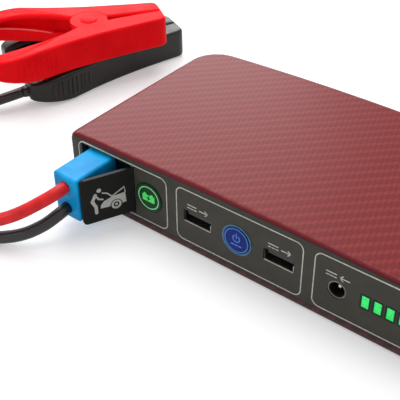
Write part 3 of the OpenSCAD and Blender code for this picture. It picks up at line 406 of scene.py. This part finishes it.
# Lit parts
m = new_mat("light_green", (36, 214, 98), 0.35, glow=0.36)
spot = m.span(m.noise(1.5, 1), 0.3, 0.7, 0.0, 1.0)
m.use("Base Color", m.mix(spot, lin((14, 204, 84)), lin((40, 226, 108))))
m.use("Emission Color", m.mix(spot, lin((16, 214, 90)), lin((44, 234, 114)))).bump(m.noise(0.3), 0.05, 0.03)
m = new_mat("ring_green", (140, 196, 158), 0.35, glow=0.25)
m.vary((118, 178, 138), 1.2).bump(m.noise(0.3), 0.05, 0.03)
m = new_mat("light_blue", (44, 108, 168), 0.35, glow=0.16)
m.vary((36, 92, 150), 1.2).bump(m.noise(0.3), 0.05, 0.03)
m = new_mat("button_green", (2, 66, 17), 0.3, specular=0.15, glow=0.1)
m.vary((1, 54, 12), 3).smudge(3, 0.24, 0.38).bump(m.noise(0.25), 0.06, 0.03)
m = new_mat("button_blue", (4, 36, 122), 0.3, specular=0.12, glow=0.12)
m.vary((3, 28, 100), 3).smudge(3, 0.22, 0.36).bump(m.noise(0.25), 0.06, 0.03)
m = new_mat("bezel", (66, 112, 138), 0.3, metal=0.6)
m.vary((48, 88, 112), 1.5).smudge(1, 0.24, 0.4).bump(m.noise(0.2), 0.06, 0.02)
# Printing
m = new_mat("print_grey", (202, 201, 190), 0.5)
m.vary((178, 177, 166), 1.4).bump(m.noise(0.2), 0.12, 0.02)
m = new_mat("print_white", (196, 194, 188), 0.5)
m.vary((178, 176, 169), 1.0).bump(m.noise(0.2), 0.12, 0.02)
m = new_mat("glow_green", (62, 202, 92), 0.4, glow=0.4)
m.vary((44, 176, 74), 0.9).bump(m.noise(0.3), 0.06, 0.02)
m = new_mat("print_symbol", (66, 116, 196), 0.4, glow=0.2)
m.vary((52, 96, 176), 0.9).bump(m.noise(0.3), 0.06, 0.02)
m = new_mat("usb_metal", (78, 76, 73), 0.36, metal=0.8)
m.vary((60, 58, 56), 2).smudge(1.5, 0.28, 0.44).bump(m.noise(0.2, 3), 0.08, 0.02)
# Painted highlight for the lower and right edges of the USB shells
m = new_mat("painted_highlight", (186, 182, 172), 0.34, metal=0.3)
m.vary((160, 156, 146), 1.2).bump(m.noise(0.2), 0.08, 0.02)
m = new_mat("rim_grey", (118, 113, 106), 0.34, metal=0.5)
m.vary((92, 88, 82), 0.8).bump(m.noise(0.2), 0.08, 0.02)
# Dark green for the gauge windows, and as painted shade round the start button
m = new_mat("halo_dark", (6, 34, 18), 0.4, specular=0.2)
m.vary((4, 24, 12), 1.0).bump(m.noise(0.2), 0.1, 0.02)

# ---- CAD nodes: soft normals and materials ----
LOOKS = {
    "red_case": ["top_shell"],
    "lip_case": ["bottom_shell"],
    "panel_plastic": ["front_panel"],
    "socket_dark": ["socket_housing"],
    "black_plastic": ["usb_tongue_left", "usb_tongue_right", "dc_jack", "start_switch",
                      "power_switch", "red_sleeve", "black_sleeve"],
    "cover_plastic": ["socket_cover"],
    "plug_blue": ["plug_shell"],
    "usb_metal": ["usb_shell_left", "usb_shell_right"],
    "steel": ["shell_screws", "cover_hinge_pin", "dc_jack_pin", "board_screws",
              "red_pivot_pin", "black_pivot_pin", "red_spring", "black_spring"],
    "brass": ["socket_contact_positive", "socket_contact_negative", "terminal_positive", "terminal_negative",
              "plug_pin_positive", "plug_pin_negative"],
    "copper": ["red_jaw_front", "red_jaw_back", "black_jaw_front", "black_jaw_back"],
    "board": ["main_board", "link_board"],
    "cell_foil": ["cell_bottom", "cell_middle", "cell_top", "board_capacitors"],
    "foam": ["cell_pad_bottom", "cell_pad_top"],
    "relay_plastic": ["start_relay", "board_inductor"],
    "lamp": ["gauge_leds"],
    "light_green": ["gauge_light_pipe"],
    "ring_green": ["start_light_ring"],
    "light_blue": ["power_light_ring"],
    "button_green": ["start_button"],
    "button_blue": ["power_button"],
    "bezel": ["power_bezel"],
    "lead_red": ["red_lead", "positive_lead_front", "positive_lead_rear"],
    "lead_black": ["black_lead", "negative_lead"],
    "clamp_red": ["red_front_arm", "red_back_arm"],
    "clamp_black": ["black_front_arm", "black_back_arm"],
}
BEVELS = {"plug_shell": 0.25, "socket_cover": 0.2, "usb_shell_left": 0.08, "usb_shell_right": 0.08,
          "start_button": 0.18, "power_button": 0.18, "power_bezel": 0.12}
WELD_M = 2e-6
SLIVER_ANGLE, BEVEL_ANGLE, SHARP_ANGLE = 0.8, 50, 32


def soften(name):
    """Smooth shading with sharp edges kept, and a small bevel where BEVELS has one."""
    o = nodes[name]
    stored = o.data.attributes.get("custom_normal")
    if stored:
        o.data.attributes.remove(stored)
    for p in o.data.polygons:
        p.use_smooth = True
    w = o.modifiers.new("weld", "WELD")
    w.merge_threshold = WELD_M
    if name.endswith("_arm"):
        d = o.modifiers.new("slivers", "DECIMATE")
        d.decimate_type, d.angle_limit = "DISSOLVE", math.radians(SLIVER_ANGLE)
    if name in BEVELS:
        b = o.modifiers.new("bevel", "BEVEL")
        b.width, b.segments = BEVELS[name] * MM, 2
        b.limit_method, b.angle_limit = "ANGLE", math.radians(BEVEL_ANGLE)
    e = o.modifiers.new("edges", "EDGE_SPLIT")
    e.split_angle = math.radians(SHARP_ANGLE)
    n = o.modifiers.new("normals", "WEIGHTED_NORMAL")
    n.keep_sharp = True


for look, names in LOOKS.items():
    for name in names:
        o = nodes[name]
        if not o.material_slots:
            o.data.materials.append(None)
        for s in o.material_slots:
            s.material = M[look].mat
        soften(name)
missing = sorted(set(nodes) - {n for names in LOOKS.values() for n in names})
if missing:
    raise SystemExit(f"no look for {missing}")

# ---- Leads: CABLE is the place on the floor below the plug's lead exits ----
CABLE = Vector((-68.95, -68.8, 0))
# Each clamp's pivot as seen from CABLE, its turn in degrees, and the height of its middle
CLAMPS = {"red": ((-84.7, 101.5), 33.5, 23.65), "black": ((-86.2, 117.5), 25.0, 7.75)}


def clamp_place(which):
    pivot, turn, z = CLAMPS[which]
    turned = Matrix.Rotation(math.radians(90 - turn), 4, "Z")
    return Matrix.Translation(CABLE + Vector((pivot[0], pivot[1], z))) @ turned


def clamp_point(which, x, y, dz):
    return clamp_place(which) @ Vector((x, y, dz))


# Points of each lead from its exit to the clamp, seen from CABLE, then the way into the clamp's sleeve
ROUTES = {
    "black": ((0, 0, 12.4), (0, -5, 11.8), (-2.5, -11, 9), (-7.5, -17, 6), (-15, -22, 3.6), (-24, -27, 2.6),
              (-37, -32, 2.6), (-52, -35, 2.6), (-68, -33, 2.6), (-83, -26, 2.6), (-94.5, -15, 2.6),
              (-101.8, -1, 2.6), (-104.7, 14, 2.6), (-103.6, 28, 3.1), (-98.8, 41.5, 4.9)),
    "red": ((0, 0, 22.4), (0, -5, 22.1), (-3, -11, 19.8), (-8, -18, 16.5), (-15, -23, 13), (-27, -31, 9),
            (-40, -38, 5.2), (-54, -42, 3), (-69, -43, 2.6), (-84, -38.5, 2.6), (-97.5, -28, 2.6),
            (-106.8, -15, 3.4), (-111.2, -1, 7), (-112.2, 11, 12), (-110.2, 21.5, 17), (-106.6, 30.5, 20.6))}
ENTRIES = {"black": ((-62, -20.6, -1.6), (-56, -20.6, -0.9)), "red": ((-62, -20.6, -1.4), (-56, -20.6, -0.9))}
LEAD_R = 2.6


def lead(which):
    route = [CABLE + Vector(p) for p in ROUTES[which]] + [clamp_point(which, *p) for p in ENTRIES[which]]
    path = spline(route, 6)
    points, faces = tube_mesh(path, LEAD_R, 24)
    o = mesh_piece(f"{which}_lead_skin", points, faces, M[f"lead_{which}"], "cable_set",
                   hides=(f"{which}_lead",))


for which in ROUTES:
    lead(which)

# ---- Clamp springs: a coil with a leg in each handle ----
WIRE_R, COIL_R, LEG, LEG_START, LEG_ANGLE, TURN_GAP = 0.6, 5.5, 21.0, 1.2, 40.0, 0.7
SWEEP = 360 * 2 + 2 * (90 - LEG_ANGLE)
RISE = (2 * WIRE_R + TURN_GAP) * SWEEP / 360
COIL_STEPS, LEG_STEPS = 72, 6


def coil_point(t):
    a = math.radians(-(90 - LEG_ANGLE) + t * SWEEP)
    return Vector((COIL_R * math.cos(a), COIL_R * math.sin(a), (t - 0.5) * RISE))


for which in CLAMPS:
    place = clamp_place(which)
    c, s = math.cos(math.radians(LEG_ANGLE)), math.sin(math.radians(LEG_ANGLE))
    front, back = Vector((-c, -s, 0)), Vector((-c, s, 0))
    path = [coil_point(0) + front * (LEG - (LEG - LEG_START) * k / LEG_STEPS) for k in range(LEG_STEPS + 1)]
    path += [coil_point(k / COIL_STEPS) for k in range(COIL_STEPS + 1)]
    path += [coil_point(1) + back * (LEG_START + (LEG - LEG_START) * k / LEG_STEPS)
             for k in range(LEG_STEPS + 1)]
    points, faces = tube_mesh([place @ p for p in path], WIRE_R, 12)
    o = mesh_piece(f"{which}_spring_wire", points, faces, M["steel"], None,
                   hides=(f"{which}_spring",))
    x, y, _ = place.translation
    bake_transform(o)

# ---- Front panel printing: places as in part.scad ----
PANEL_Y, BUTTON_Y = -48.5, -48.9
START_X, BUTTON_Z = -43.1, 17
USB_X = {"left": -18.7, "right": 18.7}
FRAME_SPANS = ((-80.9, -33.9), (-28.9, 28.6), (33.5, 80.9))
FRAME_LOW, FRAME_HIGH, FRAME_CORNER, FRAME_W = 4.7, 29.26, 3.0, 0.44
panel = Face((0, PANEL_Y, 0), (1, 0, 0), (0, 0, 1), "root")
panel.mark("panel_frames", [frame2(x0, x1, FRAME_LOW, FRAME_HIGH, FRAME_CORNER, FRAME_W)
                            for x0, x1 in FRAME_SPANS], M["print_grey"], sunk=0.4)

# Marks over the ports: direct current and an arrow out, or an arrow in over the jack
MARK_W = 0.42


def dc_sign(x, z, w):
    """A line over three dashes."""
    dash = w / 4.2
    starts = [x + k * (w - dash) / 2 for k in range(3)]
    return [stroke([(x, z + 0.7), (x + w, z + 0.7)], MARK_W)] + [
        stroke([(a, z - 0.7), (a + dash, z - 0.7)], MARK_W) for a in starts]


def arrow(x, z, w, way):
    a, b = (x, x + w) if way > 0 else (x + w, x)
    return [stroke([(a, z), (b, z)], MARK_W),
            stroke([(b - way * 1.2, z + 1.1), (b, z), (b - way * 1.2, z - 1.1)], MARK_W)]


port_marks = []
for x in USB_X.values():
    port_marks += dc_sign(x - 4.7, 22.1, 4.2) + arrow(x + 0.9, 22.1, 4.0, 1)
port_marks += dc_sign(38.3, 22.4, 4.0) + arrow(43.7, 22.4, 3.8, -1)
panel.mark("port_marks", port_marks, M["print_grey"])

# ---- Painted highlight along the lower and right edges of the USB shells ----
for side, x in USB_X.items():
    panel.mark(f"usb_edge_{side}", [stroke([(x - 6.2, 14.45), (x + 6.4, 14.45), (x + 6.4, 17.4)], 0.36)],
               M["painted_highlight"], 0.08, sunk=0.3)

# ---- Gauge: dark windows round the lit bars ----
BAR_X, BAR_PITCH = 54.09, 4.77
windows = [(round_box(x - 2.1, x + 2.1, 13.65, 20.15, 0.6), round_box(x - 1.42, x + 1.42, 14.33, 19.47, 0.12))
           for x in (BAR_X + BAR_PITCH * k for k in range(4))]
panel.mark("gauge_windows", windows, M["halo_dark"], height=0.08)

# ---- Buttons: a battery with a bolt, and a power symbol over three dashes ----
start_face = Face((START_X, BUTTON_Y, BUTTON_Z), (1, 0, 0), (0, 0, 1), "start_button")
battery = [round_box(-3.1, 3.1, -1.75, 1.35, 0.35), round_box(-2.3, -1.2, 1.3, 2.05, 0.15),
           round_box(1.2, 2.3, 1.3, 2.05, 0.15)]
start_face.mark("start_symbol", battery, M["glow_green"], 0.06)
bolt = [(0.45, 1.15), (-1.15, -0.35), (-0.2, -0.35), (-0.5, -1.6), (1.15, 0.05), (0.2, 0.05)]
start_face.mark("start_bolt", [bolt], M["button_green"], 0.1)
power_face = Face((0, BUTTON_Y, BUTTON_Z), (1, 0, 0), (0, 0, 1), "power_button")
power_sign = [ring2((0, 0.9), 1.3, 1.75, -240, 60, 40), stroke([(0, 1.1), (0, 3.1)], 0.45)]
power_sign += [stroke([(x - 0.45, -2.2), (x + 0.45, -2.2)], 0.6) for x in (-1.7, 0, 1.7)]
power_face.mark("power_symbol", power_sign, M["print_symbol"], 0.06)
# Painted shade: a dark ring on the panel, in the gap round the start button
panel.mark("start_surround", [ring2((START_X, BUTTON_Z), 6.42, 7.0)], M["halo_dark"], 0.05)

# ---- Jack rim and USB contacts ----
jack_face = Face((42.9, -48.2, 16.3), (1, 0, 0), (0, 0, 1), "root")
jack_face.mark("jack_rim", [ring2((0, 0), 3.2, 3.7)], M["rim_grey"], 0.1)
CONTACTS = [round_box(x - 0.5, x + 0.5, 0.3, 8.0, 0.2) for x in (-3.5, -1.0, 1.0, 3.5)]
for side, x in USB_X.items():
    tongue = Face((x, -47.0, 17.08), (1, 0, 0), (0, 1, 0), "root")
    tongue.n = Vector((0, 0, -1))
    tongue.mark(f"usb_contacts_{side}", CONTACTS, M["brass"], 0.06)

# ---- Pictogram on the socket cover: a person at a car with its bonnet up ----
COVER_HINGE = Vector((-52.3, -47.6, 6.3))
COVER_OPEN, COVER_LENGTH, COVER_HALF = 65, 22.4, 0.9
turn = math.radians(180 + COVER_OPEN)
out_from_hinge = Vector((math.cos(turn), math.sin(turn), 0))
off_face = Vector((-math.sin(turn), math.cos(turn), 0))
cover = Face(COVER_HINGE + off_face * COVER_HALF + out_from_hinge * COVER_LENGTH, -out_from_hinge, (0, 0, 1),
             "socket_cover")
person = [disc2((9.0, 15.0), 0.95, 24), stroke([(7.35, 13.2), (5.9, 10.4), (7.2, 7.6), (7.3, 4.6)], 1.4),
          stroke([(7.5, 12.9), (8.5, 11.0), (10.3, 10.3)], 0.7)]
car = [[(9.1, 6.1), (9.3, 7.7), (10.7, 9.2), (14.2, 10.4), (16.3, 10.6), (19.9, 10.9), (20.2, 6.1),
        (18.5, 5.9), (18.3, 7.1), (17.3, 8.3), (15.9, 8.7), (14.5, 8.3), (13.5, 7.1), (13.2, 5.9)],
       stroke([(14.1, 10.5), (19.7, 13.5), (19.9, 10.9)], 0.55),
       stroke([(10.3, 13.4), (12.3, 12.7), (14.1, 10.7)], 0.55),
       ring2((15.9, 6.1), 1.25, 2.15, n=32), disc2((15.9, 6.1), 0.6, 20)]


def shift(shape, dx):
    if isinstance(shape, tuple):
        return tuple(shift(part, dx) for part in shape)
    return [(q[0] + dx, q[1]) for q in shape]


cover.mark("cover_pictogram", [shift(q, -1.5) for q in person + car], M["print_white"], 0.05)

# ---- Clamps: grip ribs, rims and back walls of the handles, and the cap over the red pivot ----
# Curves of the arm in part.scad, seen from its pivot: outer side of the handle, of the jaw, and inner side
HANDLE_OUT = ((-53.5, -24.3), (-52.2, -29), (-40, -32.2), (-27, -26.4))
JAW_OUT = ((-27, -26.4), (-9, -19.2), (14, -14.4), (34.6, -11.5))
HANDLE_IN = ((-4, -3), (-18, -14), (-36, -22), (-53.5, -17))


def arm_body(which, mirror):
    """mirror is 1 for the front arm and -1 for the back one, which moves."""
    return "cable_set" if mirror > 0 else f"{which}_jaw"


def bezier(p, t):
    u = 1 - t
    weights = (u ** 3, 3 * u * u * t, 3 * u * t * t, t ** 3)
    return sum((Vector(q) * w for q, w in zip(p, weights)), Vector((0, 0)))


RIB_COUNT, RIB_FIRST, RIB_PITCH, RIB_TALL, RIB_PROUD = 9, -42, 2.6, 4.6, 0.38


def grip_ribs(which):
    """Ribs across the outer side of the front handle, shorter to both ends of the row."""
    side = [bezier(HANDLE_OUT, k / 60) for k in range(60)] + [bezier(JAW_OUT, k / 60) for k in range(30)]
    points, faces = [], []
    place = clamp_place(which)
    for n in range(RIB_COUNT):
        x = RIB_FIRST + RIB_PITCH * n
        k = min(range(len(side)), key=lambda i: abs(side[i].x - x))
        t = (side[k + 1] - side[k - 1]).normalized()
        tall = RIB_TALL - 0.25 * abs(n - RIB_COUNT // 2)
        f = Face(place @ Vector((side[k].x, side[k].y, 0)), place.to_3x3() @ Vector((t.x, t.y, 0)),
                 (0, 0, 1), "cable_set")
        f.prisms([round_box(-0.62, 0.62, -tall, tall, 0.55)], RIB_PROUD, 0.5, points, faces)
    o = mesh_piece(f"{which}_grip_ribs", points, faces, M[f"clamp_{which}"], "cable_set")
    b = o.modifiers.new("bevel", "BEVEL")
    b.width, b.segments, b.limit_method = 0.16 * MM, 2, "ANGLE"


def cap(name, which, z, rise, radius):
    """A shallow dome on top of the clamp, with a flat underside."""
    x, y, _ = clamp_place(which).translation
    points, faces, n, rows = [], [], 40, 6
    for r in range(rows):
        a = math.radians(90 * r / rows)
        for k in range(n):
            b = 2 * math.pi * k / n
            points.append((x + radius * math.cos(a) * math.cos(b), y + radius * math.cos(a) * math.sin(b),
                           z + rise * math.sin(a)))
    points.append((x, y, z + rise))
    for r in range(rows - 1):
        faces += [(r * n + k, r * n + (k + 1) % n, (r + 1) * n + (k + 1) % n, (r + 1) * n + k)
                  for k in range(n)]
    faces += [((rows - 1) * n + k, (rows - 1) * n + (k + 1) % n, rows * n) for k in range(n)]
    faces.append(tuple(range(n))[::-1])
    mesh_piece(name, points, faces, M[f"clamp_{which}"], "cable_set")


# The handle's half thickness by the pivot and what it loses to its end, where that starts and how long it is
HALF_THICK, THINNING, TAPER_FROM, TAPER_LENGTH = 7.75, 3.25, 30, 23.5
# Least height of the channel with the wall over it
MOUTH_AND_WALL = 4.6
RIM_STEPS, RIM_R = 24, 0.42


def half_thick(x):
    share = max(0, (-TAPER_FROM - x) / TAPER_LENGTH)
    return HALF_THICK - THINNING * share ** 1.4


def mouth_floor(x):
    """Height of the channel's floor along the handle, as in part.scad."""
    return min(-2.3 + 0.13 * max(0, -18 - x), half_thick(x) - MOUTH_AND_WALL)


def channel_rim(which, mirror):
    """The rounded lower lip of the open channel in a handle."""
    path = []
    for k in range(RIM_STEPS + 1):
        q = bezier(HANDLE_IN, 0.3 + 0.6 * k / RIM_STEPS)
        path.append(clamp_place(which) @ Vector((q.x, mirror * (q.y - 0.3), mouth_floor(q.x))))
    points, faces = tube_mesh(path, RIM_R, 12)
    name = f"{which}_channel_rim_{'front' if mirror > 0 else 'back'}"
    # The lip's lighter colour is a painted highlight
    mesh_piece(name, points, faces, M[f"edge_{which}"], arm_body(which, mirror))


def channel_back(which, mirror):
    """The channel's back wall, carried on past the deep part round the spring."""
    points, faces, n, place = [], [], 12, clamp_place(which)
    for k in range(n):
        q = bezier(HANDLE_IN, 0.07 + 0.21 * k / (n - 1))
        for dy, z in ((-5.1, -5.5), (-5.1, 5.5), (-5.9, 5.5), (-5.9, -5.5)):
            points.append(place @ Vector((q.x, mirror * (q.y + dy), z)))
    for k in range(n - 1):
        faces += [(4 * k + j, 4 * k + (j + 1) % 4, 4 * k + 4 + (j + 1) % 4, 4 * k + 4 + j)[::mirror]
                  for j in range(4)]
    faces += [(0, 3, 2, 1)[::mirror], tuple(4 * (n - 1) + j for j in range(4))[::mirror]]
    name = f"{which}_channel_back_{'front' if mirror > 0 else 'rear'}"
    mesh_piece(name, points, faces, M[f"clamp_{which}"], arm_body(which, mirror),
               smooth=False)


for which in CLAMPS:
    grip_ribs(which)
    for mirror in (1, -1):
        channel_rim(which, mirror)
        channel_back(which, mirror)
cap("red_pivot_cap", "red", 31.38, 0.9, 4.4)

# ---- Studio, in metres ----
def lamp(name, power, size, at, aim):
    data = bpy.data.lights.new(name, "AREA")
    data.energy, data.shape, data.size = power, "SQUARE", size
    o = bpy.data.objects.new(name, data)
    scene.collection.objects.link(o)
    o.location = at
    o.rotation_euler = (Vector(aim) - Vector(at)).to_track_quat("-Z", "Y").to_euler()


lamp("overhead", 7.4, 0.9, (-0.25, 0.25, 1.1), (0, 0, 0))
lamp("back_left", 6.5, 0.7, (-0.8, 0.75, 0.62), (-0.05, 0, 0.02))
lamp("front", 3.7, 0.6, (-0.85, -0.9, 0.62), (0, 0, 0.02))


def seen_rays(tree):
    """1 for camera, glossy and transmission rays, 0 for the rest."""
    rays = add_node(tree, "LightPath").outputs
    return add_math(tree, "MAXIMUM", rays["Is Camera Ray"],
                    add_math(tree, "MAXIMUM", rays["Is Glossy Ray"], rays["Is Transmission Ray"]))


# White where it is seen, half as bright as a light
world = bpy.data.worlds.new("world")
scene.world = world
world.use_nodes = True
wt = world.node_tree
wt.nodes.clear()
strength = add_math(wt, "ADD", 0.5, add_math(wt, "MULTIPLY", seen_rays(wt), 0.5))
sky = add_node(wt, "Background", {"Color": (1, 1, 1, 1), "Strength": strength})
add_node(wt, "OutputWorld", {0: sky.outputs[0]})

# The floor lies just under the pack. It glows where it is seen, and more so with distance
FLOOR_Z, FLOOR_HALF = -0.0002, 4
corners = ((-1, -1), (1, -1), (1, 1), (-1, 1))
floor_mesh = bpy.data.meshes.new("floor")
floor_mesh.from_pydata([(x * FLOOR_HALF, y * FLOOR_HALF, FLOOR_Z) for x, y in corners], [], [(0, 1, 2, 3)])
floor = bpy.data.objects.new("floor", floor_mesh)
scene.collection.objects.link(floor)
floor_mat = bpy.data.materials.new("floor")
floor_mat.use_nodes = True
ft = floor_mat.node_tree
ft.nodes.clear()
plain = add_node(ft, "BsdfDiffuse", {"Color": (0.78, 0.78, 0.785, 1)}).outputs[0]
from_middle = add_node(ft, "VectorMath", {0: add_node(ft, "TexCoord").outputs["Object"]}, operation="LENGTH")
glow = add_node(ft, "MapRange", {"Value": from_middle.outputs["Value"], "From Min": 0.35, "From Max": 1.3,
                                 "To Min": 0.32, "To Max": 0.75}).outputs["Result"]
lit = add_node(ft, "AddShader", {0: plain, 1: add_node(ft, "Emission", {"Strength": glow}).outputs[0]})
either = add_node(ft, "MixShader", {0: seen_rays(ft), 1: plain, 2: lit.outputs[0]})
add_node(ft, "OutputMaterial", {0: either.outputs[0]})
floor_mesh.materials.append(floor_mat)

bpy.context.view_layer.update()
